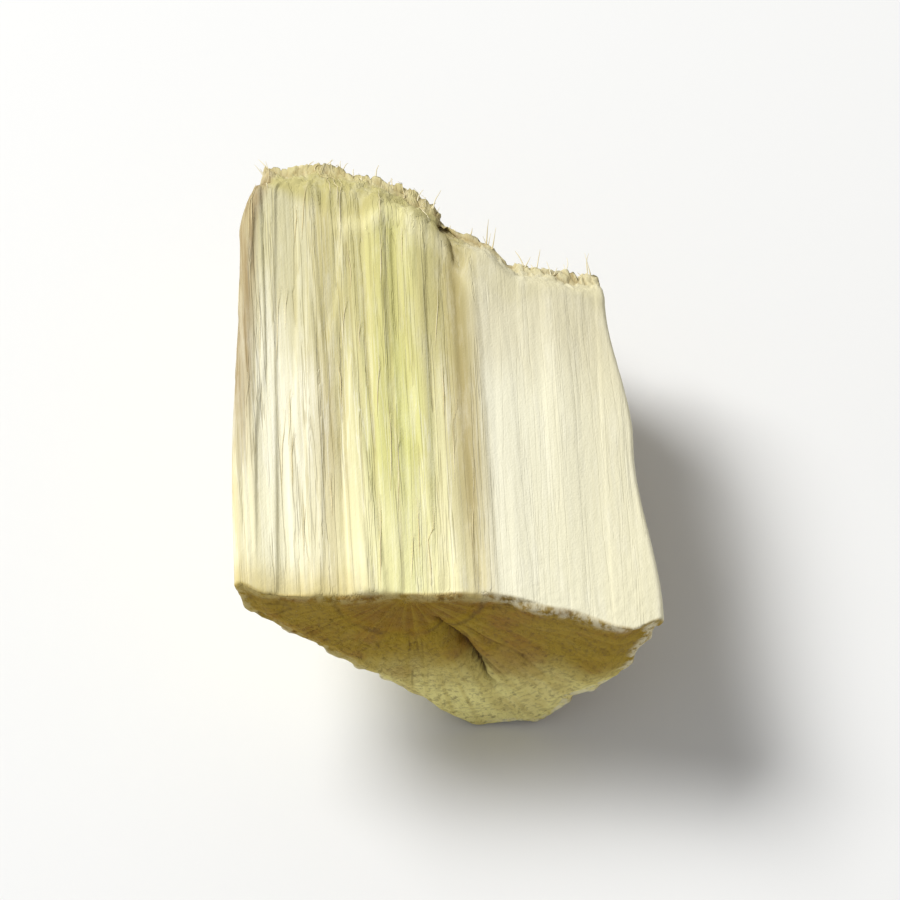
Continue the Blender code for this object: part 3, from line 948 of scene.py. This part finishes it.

# %% [markdown]
# ## Colours along the grain
#
# On the split faces the rings become stripes. Over them lie lines of three widths, thin dark gaps
# between fibres, a painted sheen, and the open vessels in the wood. The split top also has painted
# light and shade: a painted highlight at the front, painted shade at the back, darkest on the ledge
# behind the low crest, and a pale painted highlight on the crest.

# %% Colours of the split faces
LINES_ON_BARK, LINES_ON_FLANK = 0.2, 0.5
PITH_SPAN, PITH_SHARE = (0.15, 0.55), 0.32
SHADE_EDGE_REACH = 3.0
SUNNY_SPAN, SUNNY_EDGE, SUNNY_ON_BARK, SUNNY_SHARE = (-4.4, -1.4), (1.5, 1.9), 0.25, 0.36
WOOD_SIDE, LATE_LEFT, LATE_BY = (1.3, 1.9), (-2.7, -1.9), 1.6
SHADE_SPAN_WOOD, SHADE_STEP_WOOD, SHADE_SHARES_WOOD = (-1.4, 1.8), (0.3, 0.8), (0.52, 0.8)
SHADE_SPAN_BARK, SHADE_SHARE_BARK = (-1.0, 2.0), 0.65
LEDGE_SPAN, LEDGE_SHARES, CREST_HIGHLIGHT_SHARE = (1.0, 2.0), (0.95, 0.2), 0.35


def side_colours(place, x, ring, wood, flank):
    """The root's colours where the grain runs along the face: rings, then lines along the grain."""
    lined = ramp(x, *BARK_SPAN, 1.0, LINES_ON_BARK) + flank * LINES_ON_FLANK
    return layered(
        ring_colours(ring),
        (LINE_COLOUR, patches(place, "broad lines") * 0.28 * lined),
        (LINE_COLOUR, patches(place, "fine lines") * 0.26 * lined),
        (LINE_COLOUR, patches(place, "hair lines") * 0.22 * lined),
        (VESSEL_COLOUR, lines(place, "gaps") * 0.34 * lined),
        # A painted sheen: pale thin lines along the grain.
        (MEAL_AND_SHEEN_COLOUR, lines(place, "sheen") * 0.35 * lined),
        (VESSEL_COLOUR, patches(place, "vessels") * 0.40 * wood),
        (PITH_COLOUR, ramp(ring, *PITH_SPAN, PITH_SHARE, 0.0)),
    )


def lit_and_shaded_top(colour, place, x, y, ledge, crest):
    """Painted light on the split face: highlight in front and on the crest, shade at the back and ledge."""
    back = y + (noise_at(place, "shade's edge") * SHADE_EDGE_REACH - SHADE_EDGE_REACH / 2)
    late = back - ramp(x, *LATE_LEFT, LATE_BY, 0.0)
    on_left = ramp(x, *WOOD_SIDE, 1.0, 0.0)
    sunny = ramp(back, *SUNNY_SPAN, 1.0, 0.0) * ramp(x, *SUNNY_EDGE, 1.0, SUNNY_ON_BARK)
    return layered(
        colour,
        # Painted highlight at the front, painted shade at the back and on the ledge.
        (SUNNY_WOOD, sunny * SUNNY_SHARE),
        (SHADY_WOOD, ramp(late, *SHADE_SPAN_WOOD) * ramp(x, *SHADE_STEP_WOOD, *SHADE_SHARES_WOOD) * on_left),
        (SHADY_BARK, ramp(back, *SHADE_SPAN_BARK) * (1.0 - on_left) * SHADE_SHARE_BARK),
        (SHADY_WOOD, ledge * ramp(x, *LEDGE_SPAN, *LEDGE_SHARES)),
        (CREST_HIGHLIGHT, crest * CREST_HIGHLIGHT_SHARE),
    )


print("the split face is sunny in front of y =", SUNNY_SPAN[1], "mm, and dull behind y =", SHADE_SPAN_WOOD[1], "mm")

# %% [markdown]
# ## Colours of the cut end and the rind
#
# The knife cut is the darkest face: its own brown, darkened further with painted shade, most of all
# under the top rim, and paler towards the keel, partly from the outer bark's own tone and partly as
# painted bounce light. It shows brown wood round a paler pith, a broken dark ring at the cambium, and
# olive bark with rays and flecks of bast.
# The rind is peeled, so it is cream to tan, with brown skin left in its furrows and low down.

# %% Colours of the cut end
# Paler towards the keel: outer bark's tone and painted bounce light. Darker under the rim: painted shade.
PALE_KEEL, SHADE_UNDER_RIM, SHADE_UNDER_RIM_SHARE, KEEL_LIGHT_REACH = (-3.1, -1.3), (-1.2, 0.3), 0.25, 1.6
RED_SPAN, RED_SHARES = (-3.0, -1.5), (0.15, 0.45)
END_WOOD_EDGE, END_WOOD_SHARE, END_PITH, END_PITH_SHARE = (0.75, 1.10), 0.75, (0.10, 0.35), 0.4
BAST_RISE, BAST_SHARE, PORE_SHARE, END_RAY_SHARE = (1.1, 1.5), 0.25, 0.3, 0.32
RING_LINE, RING_LINE_WIDTH, RING_LINE_SHARES = 1.08, 0.09, (0.12, 0.5)


def cut_colours(place, around, ring, z):
    """The cut end: brown wood round a pale pith, mottled olive bark, painted shade, paler at the keel."""
    low = z + noise_at(around, "keel's light") * KEEL_LIGHT_REACH
    wood = ramp(ring, *END_WOOD_EDGE, END_WOOD_SHARE, 0.0) * ramp(ring, *END_PITH, END_PITH_SHARE, 1.0)
    bast = patches(around, "bast") * ramp(ring, *BAST_RISE, 0.0, BAST_SHARE)
    dark_ring = thin(ring - RING_LINE, RING_LINE_WIDTH)
    return layered(
        END_BARK,
        # Paler towards the keel: the outer bark's own tone, and painted bounce light.
        (END_PALE, ramp(low, *PALE_KEEL, 1.0, 0.0)),
        # Painted shade under the top rim.
        (END_WOOD, ramp(low, *SHADE_UNDER_RIM, 0.0, SHADE_UNDER_RIM_SHARE)),
        (END_RED, patches(place, "mottles") * ramp(low, *RED_SPAN, *RED_SHARES)),
        (END_WOOD, wood),
        (CRACK_COLOUR, bast + patches(place, "pores") * PORE_SHARE),
        (END_RAY, patches(around, "rays") * END_RAY_SHARE),
        (CRACK_COLOUR, dark_ring * patches(around, "broken ring", *RING_LINE_SHARES)),
    )


print("the cut end has a dark ring at", RING_LINE, "times the wood's radius")

# %% Colours of the rind
SKIN_LOW, SKIN_MORE_OR_LESS, SKIN_LEFT = (-5.2, -1.5), (0.10, -0.12), (0.54, 0.66)


def rind_colours(position, place, z):
    """The peeled rind: cream to tan, with brown skin left in the furrows and low down."""
    skin = noise_at(place, "skin") + ramp(z, *SKIN_LOW, *SKIN_MORE_OR_LESS)
    scar, lip = root_scar(position)
    return layered(
        RIND_COLOUR,
        (TAN_RIND, patches(place, "tan rind")),
        (SKIN_COLOUR, ramp(skin, *SKIN_LEFT) * 0.7),
        (SKIN_COLOUR, rind_furrows(place) * 0.6),
        (SKIN_COLOUR, lines(place, "wrinkles") * 0.40),
        (RIND_COLOUR, lines(place, "pale wrinkles") * 0.35),
        (TAN_RIND, lip * 0.5),
        (SKIN_COLOUR, scar * 0.8),
    )


print("brown skin is left mostly below z =", TOP_HEIGHT + SKIN_LOW[1], "mm")

# %% [markdown]
# ## The whole finish
#
# The marks on the mesh choose between the faces' colours, so that the split face, the rind and the
# two ends meet softly at their edges. Starch dust and the rims lie over all of them: the rims are
# darker over the wood and carry a painted highlight over the bark. A fine bump adds the hair and
# the grains of starch that are too small to be made in the mesh.

# %% The colour of every face
SWAY, WOOD_EDGE = 0.35, (0.95, 1.10)
EDGE_SPAN, STREAK_SHARES, FRONT_EDGE_SHARE = (-2.9, -0.2), (0.6, 1.0), 0.8
SEAM_SPAN, SEAM_SHARES, RIND_SHARE = (-5.0, -2.5), (0.4, 0.8), 0.85
TORN_PALE_SHARE, TORN_SPAN, CUT_SHARE = 0.6, (0.55, 0.98), 0.95
CRACK_LINE, CRACK_LINE_SHARE, CRACK_SHARE = 0.02, 0.5, 0.85
DUST_SHARES, RIM_ON_BARK, RIM_BEFORE_TEAR, RIM_SHARE = (0.18, 0.02), (1.4, 2.1), (0.2, 0.6), 0.65


def root_colour(position, place, x, y, z, marked, dust):
    """The colour of the chip: each face's own, then what lies over all of them."""
    ring = ring_share(x, y, z) + (noise_at(place, "rings' sway") - 0.5) * SWAY
    wood, around = ramp(ring, *WOOD_EDGE, 1.0, 0.0), round_the_pith(x, y, z, ring)
    cut, torn = marked["cut_end"], marked["torn_end"]
    left_edge = marked["left_edge"] * ramp(y, *EDGE_SPAN)
    sides = side_colours(place, x, ring, wood, marked["flank"])
    along = layered(
        sides,
        (lit_and_shaded_top(sides, place, x, y, marked["ledge"], marked["crest"]), marked["split_top"]),
        (EDGE_COLOUR, left_edge * patches(place, "streaks", *STREAK_SHARES)),
        (WOOD_RIM, marked["front_edge"] * FRONT_EDGE_SHARE),
        # Painted shade in the groove along the cambium, stronger behind the front end.
        (GROOVE_SHADE_COLOUR, marked["seam"] * ramp(y, *SEAM_SPAN, *SEAM_SHARES)),
        (rind_colours(position, place, z), marked["rind"] * RIND_SHARE),
    )
    # Painted shade in the crevices between the torn bundles and on the short bundles.
    broken = layered(along, (TORN_COLOUR, TORN_PALE_SHARE), (SHADE_IN_CREVICES, marked["between_bundles"]))
    cracks = radial_cracks(around, ring, CRACK_LINE) * CRACK_LINE_SHARE
    cracks = calc("MAXIMUM", cracks, check_line(place, x, z))
    # Rims: darker over the wood, and a painted highlight over the bark.
    rim = marked["rim"] * patches(place, "rim patches")
    rim = rim * ramp(torn, *RIM_BEFORE_TEAR, RIM_SHARE, 0.0) * (1.0 - left_edge)
    return layered(
        along,
        (broken, ramp(torn, *TORN_SPAN)),
        (cut_colours(place, around, ring, z), cut * CUT_SHARE),
        (CRACK_COLOUR, cracks * cut * CRACK_SHARE),
        (MEAL_AND_SHEEN_COLOUR, dust * ramp(cut, 0.0, 1.0, *DUST_SHARES)),
        (mix_colour(ramp(x, *RIM_ON_BARK), WOOD_RIM, BARK_RIM_HIGHLIGHT), rim),
    )


print("the cut end covers", CUT_SHARE, "of what lies under it, and the rind", RIND_SHARE)

# %% The root's material
ROUGHNESS, DUST_ROUGHNESS, SPECULAR = 0.86, 0.08, 0.12
HAIR_ON_BARK, STARCH_SHARE, BUMP_STRENGTH, BUMP_MM = 0.25, 0.6, 0.5, 0.03


def root_bump(place, x, top):
    """The height of hair, of the gaps between fibres, and of the grains of starch."""
    hair = noise_at(place, "hair") - lines(place, "gaps")
    mealy = top * ramp(x, *BARK_SPAN)
    hair = hair * ramp(mealy, 0.0, 1.0, 1.0, HAIR_ON_BARK)
    return hair + noise_at(place, "starch") * STARCH_SHARE


def root_material():
    """The finish of the whole chip."""
    material, tree, shader = new_material("dried_root_tissue")
    marked = {name: mark(tree, name) for name in (*masks, "between_bundles") if name != "open_wood"}
    position = add(tree, "ShaderNodeTexCoord", None, "Object")
    place, x, y, z = root_place(position)
    dust = patches(place, "dust")
    height = root_bump(place, x, marked["split_top"])
    bump = {"Strength": BUMP_STRENGTH, "Distance": BUMP_MM * MM, "Height": height}
    fill(shader, {
        "Base Color": root_colour(position, place, x, y, z, marked, dust),
        "Roughness": dust * DUST_ROUGHNESS + ROUGHNESS,
        "Normal": add(tree, "ShaderNodeBump", bump),
        "Specular IOR Level": SPECULAR,
    })
    return material


root_tissue = root_material()
print("the finish has", len(root_tissue.node_tree.nodes), "nodes")

# %% The chip, raised and painted
chip_body = through_tree("chip_body", grid, relief_tree(root_tissue), RELIEF_MM)
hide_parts("root_chip")
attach(chip_body, "root")
print("chip_body has", len(chip_body.data.polygons), "faces")

# %% [markdown]
# ## Loose fibres
#
# Marshmallow bark is full of thin bast fibres. Some stand out of the torn end, and some have lifted
# off the split face and lie along it. Both repeat by the same rule, so one geometry tree makes both
# with different inputs: points on a marked face, a thin line on each point that runs along the grain
# with a little lean and bend, and a fine tapering tube along each line. A line can also hug the
# chip, which lays it on the face with its tip lifted. No line goes past the furthest Y, so that the
# fibres add nothing to the chip's size.

# %% The two kinds of fibre
STANDING = {
    "Mark": "torn_end", "Fibres Per Square mm": 5.0, "Shortest": 0.12, "Longest": 0.55, "Radius": 0.017,
    "Lean": 0.35, "Curl": 0.30, "Foot": 1.0, "Hug": 0.0, "Lift": 0.0, "Furthest Y": 5.98,
}
LYING = {
    "Mark": "open_wood", "Fibres Per Square mm": 0.8, "Shortest": 0.6, "Longest": 2.4, "Radius": 0.013,
    "Lean": 0.04, "Curl": 0.18, "Foot": 0.1, "Hug": 1.0, "Lift": 0.06, "Furthest Y": 5.98,
}
print("standing fibres are up to", STANDING["Longest"], "mm long, lying ones up to", LYING["Longest"], "mm")

# %% A line for each fibre
ON_MARK, LEAST_LENGTH, POINTS_PER_FIBRE = (0.86, 1.0), 0.04, 9
POINT_SEED, LENGTH_SEED, LEAN_SEED = 7, 3, 5


def fibre_lines(tree, given):
    """Straight lines along the grain, one on each point of the marked face."""
    density = given["Fibres Per Square mm"] * (1.0 / MM**2) * ramp(named(tree, given["Mark"]), *ON_MARK)
    inputs = {"Mesh": given["Geometry"], "Density": density, "Seed": POINT_SEED}
    points = add(tree, "GeometryNodeDistributePointsOnFaces", inputs, "Points")
    y = parts(add(tree, "GeometryNodeInputPosition"))[1]
    size = {"Min_001": given["Shortest"], "Max_001": given["Longest"], "Seed": LENGTH_SEED}
    length = add(tree, "FunctionNodeRandomValue", size, "Value_001", data_type="FLOAT")
    length = calc("MAXIMUM", calc("MINIMUM", length, given["Furthest Y"] - y / MM), LEAST_LENGTH)
    sides = {"Min": (-1.0, 0.0, -1.0), "Max": (1.0, 0.0, 1.0), "Seed": LEAN_SEED}
    lean = add(tree, "FunctionNodeRandomValue", sides, data_type="FLOAT_VECTOR")
    lean = vector_calc("SCALE", lean, Scale=given["Lean"])
    line = add(tree, "GeometryNodeCurvePrimitiveLine", {"End": (0.0, 1.0, 0.0)})
    inputs = {
        "Points": points,
        "Instance": add(tree, "GeometryNodeResampleCurve", {"Curve": line, "Count": POINTS_PER_FIBRE}),
        "Rotation": add(tree, "FunctionNodeEulerToRotation", {0: lean}),
        "Scale": joined(1.0, length * MM, 1.0),
    }
    placed = add(tree, "GeometryNodeInstanceOnPoints", inputs)
    return add(tree, "GeometryNodeRealizeInstances", {0: placed})


print("each fibre is a line of", POINTS_PER_FIBRE, "points")

# %% A geometry tree for loose fibres
FIBRE_BEND, TIP_LIFT_POWER, RAISED_SHARE = (0.9, 1.0), 4.0, 0.5
TUBE_SIDES, TIP_TAPER, FOOT_SPAN = 5, 0.75, 0.35


def fibre_tree(material):
    """The tree that lays or stands loose fibres on a marked face."""
    tree, given = new_tree("loose_fibres", STANDING)
    along = add(tree, "GeometryNodeSplineParameter", None, "Factor")
    position = add(tree, "GeometryNodeInputPosition")
    curl = bend(in_mm(position), *FIBRE_BEND, along * along * given["Curl"] * (2.0 * MM))
    curled = add(tree, "GeometryNodeSetPosition", {"Geometry": fibre_lines(tree, given), "Offset": curl})

    inputs = {"Target": given["Geometry"], "Source Position": position}
    nearest = add(tree, "GeometryNodeProximity", inputs, "Position", target_element="FACES")
    lift = calc("POWER", along, TIP_LIFT_POWER) * given["Lift"] + given["Radius"] * RAISED_SHARE
    resting = vector_calc("ADD", nearest, joined(z=lift * MM))
    way = vector_calc("SCALE", vector_calc("SUBTRACT", resting, position), Scale=given["Hug"])
    laid = add(tree, "GeometryNodeSetPosition", {"Geometry": curled, "Offset": way})

    inputs = {"Resolution": TUBE_SIDES, "Radius": given["Radius"] * MM}
    ring = add(tree, "GeometryNodeCurvePrimitiveCircle", inputs)
    taper = (1.0 - along * TIP_TAPER) * ramp(along, 0.0, FOOT_SPAN, given["Foot"], 1.0)
    inputs = {"Curve": laid, "Profile Curve": ring, "Scale": taper, "Fill Caps": True}
    return painted_output(add(tree, "GeometryNodeCurveToMesh", inputs), material)


print("a fibre's tip is", round(1 - TIP_TAPER, 2), "times as thick as the fibre")

# %% The fibre's finish, and both kinds of fibre
STRAW, DARK_STRAW, FIBRE_ROUGHNESS = linear(240, 231, 196), linear(216, 200, 150), 0.6


def fibre_material():
    """The finish of a loose fibre: pale straw, a little glossier than the root."""
    material, tree, shader = new_material("bast_fibre")
    place = in_mm(add(tree, "ShaderNodeTexCoord", None, "Object"))
    colour = mix_colour(patches(place, "fibre's tone"), STRAW, DARK_STRAW)
    fill(shader, {"Base Color": colour, "Roughness": FIBRE_ROUGHNESS})
    return material


fibres = fibre_tree(fibre_material())
for name, values in (("torn_fibres", STANDING), ("split_fibres", LYING)):
    piece = through_tree(name, chip_body.data.copy(), fibres, values)
    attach(piece, "root")
    print(name, "has", len(piece.data.polygons), "faces")

# %% [markdown]
# ## Floor, light and camera
#
# The chip lies on a plain pale floor. One large soft light stands behind it on the left, so the split
# face is lit at a slant and the cut end is in shade, and the world fills the shadows. The camera
# looks down at 60 degrees through a long lens, so that the chip keeps its true proportions.

# %% Floor
FLOOR_HALF = 400 * MM
FLOOR_COLOUR, FLOOR_ROUGHNESS = (0.80, 0.80, 0.79, 1.0), 0.9
floor_corners = [(FLOOR_HALF * x, FLOOR_HALF * y, 0) for x, y in ((-1, -1), (1, -1), (1, 1), (-1, 1))]
floor_mesh = bpy.data.meshes.new("floor")
floor_mesh.from_pydata(floor_corners, [], [(0, 1, 2, 3)])
floor_paint, _, floor_shader = new_material("pale_floor")
fill(floor_shader, {"Base Color": FLOOR_COLOUR, "Roughness": FLOOR_ROUGHNESS})
floor_mesh.materials.append(floor_paint)
floor = new_object("floor", floor_mesh)
print("the floor is", round(2 * FLOOR_HALF / MM), "mm wide")

# %% Light
KEY_POWER, KEY_SIZE, KEY_PLACE = 1.10, 140 * MM, Vector((-170 * MM, 110 * MM, 240 * MM))
WHITE, FILL = (1.0, 1.0, 1.0, 1.0), 0.36


def put(thing, place, facing):
    """Puts a lamp or a camera at a place, looking along facing."""
    thing.location = place
    thing.rotation_mode = "QUATERNION"
    thing.rotation_quaternion = facing.to_track_quat("-Z", "Y")


key_light = bpy.data.lights.new("key_light", "AREA")
key_light.size, key_light.energy = KEY_SIZE, KEY_POWER
put(new_object("key_light", key_light), KEY_PLACE, -KEY_PLACE)
world = bpy.data.worlds.new("studio")
world.use_nodes = True
fill(world.node_tree.nodes["Background"], {"Color": WHITE, "Strength": FILL})
bpy.context.scene.world = world
bpy.context.scene.view_settings.view_transform = "Standard"
print("the light stands", round(KEY_PLACE.length / MM), "mm away")

# %% Camera
CAMERA_ELEVATION, CAMERA_DISTANCE, CAMERA_LENS = math.radians(60.0), 300 * MM, 555.0
CAMERA_AIM, CAMERA_CLIP = Vector((0.0, -0.35 * MM, 2.6 * MM)), (10 * MM, 5.0)
camera_data = bpy.data.cameras.new("camera")
camera_data.lens = CAMERA_LENS
camera_data.clip_start, camera_data.clip_end = CAMERA_CLIP
camera = new_object("camera", camera_data)
back_to_camera = Vector((0.0, -math.cos(CAMERA_ELEVATION), math.sin(CAMERA_ELEVATION)))
put(camera, CAMERA_AIM + CAMERA_DISTANCE * back_to_camera, -back_to_camera)
bpy.context.scene.camera = camera
seen = camera_data.sensor_width / CAMERA_LENS * CAMERA_DISTANCE
print("the camera sees", round(seen / MM, 1), "mm at the chip")
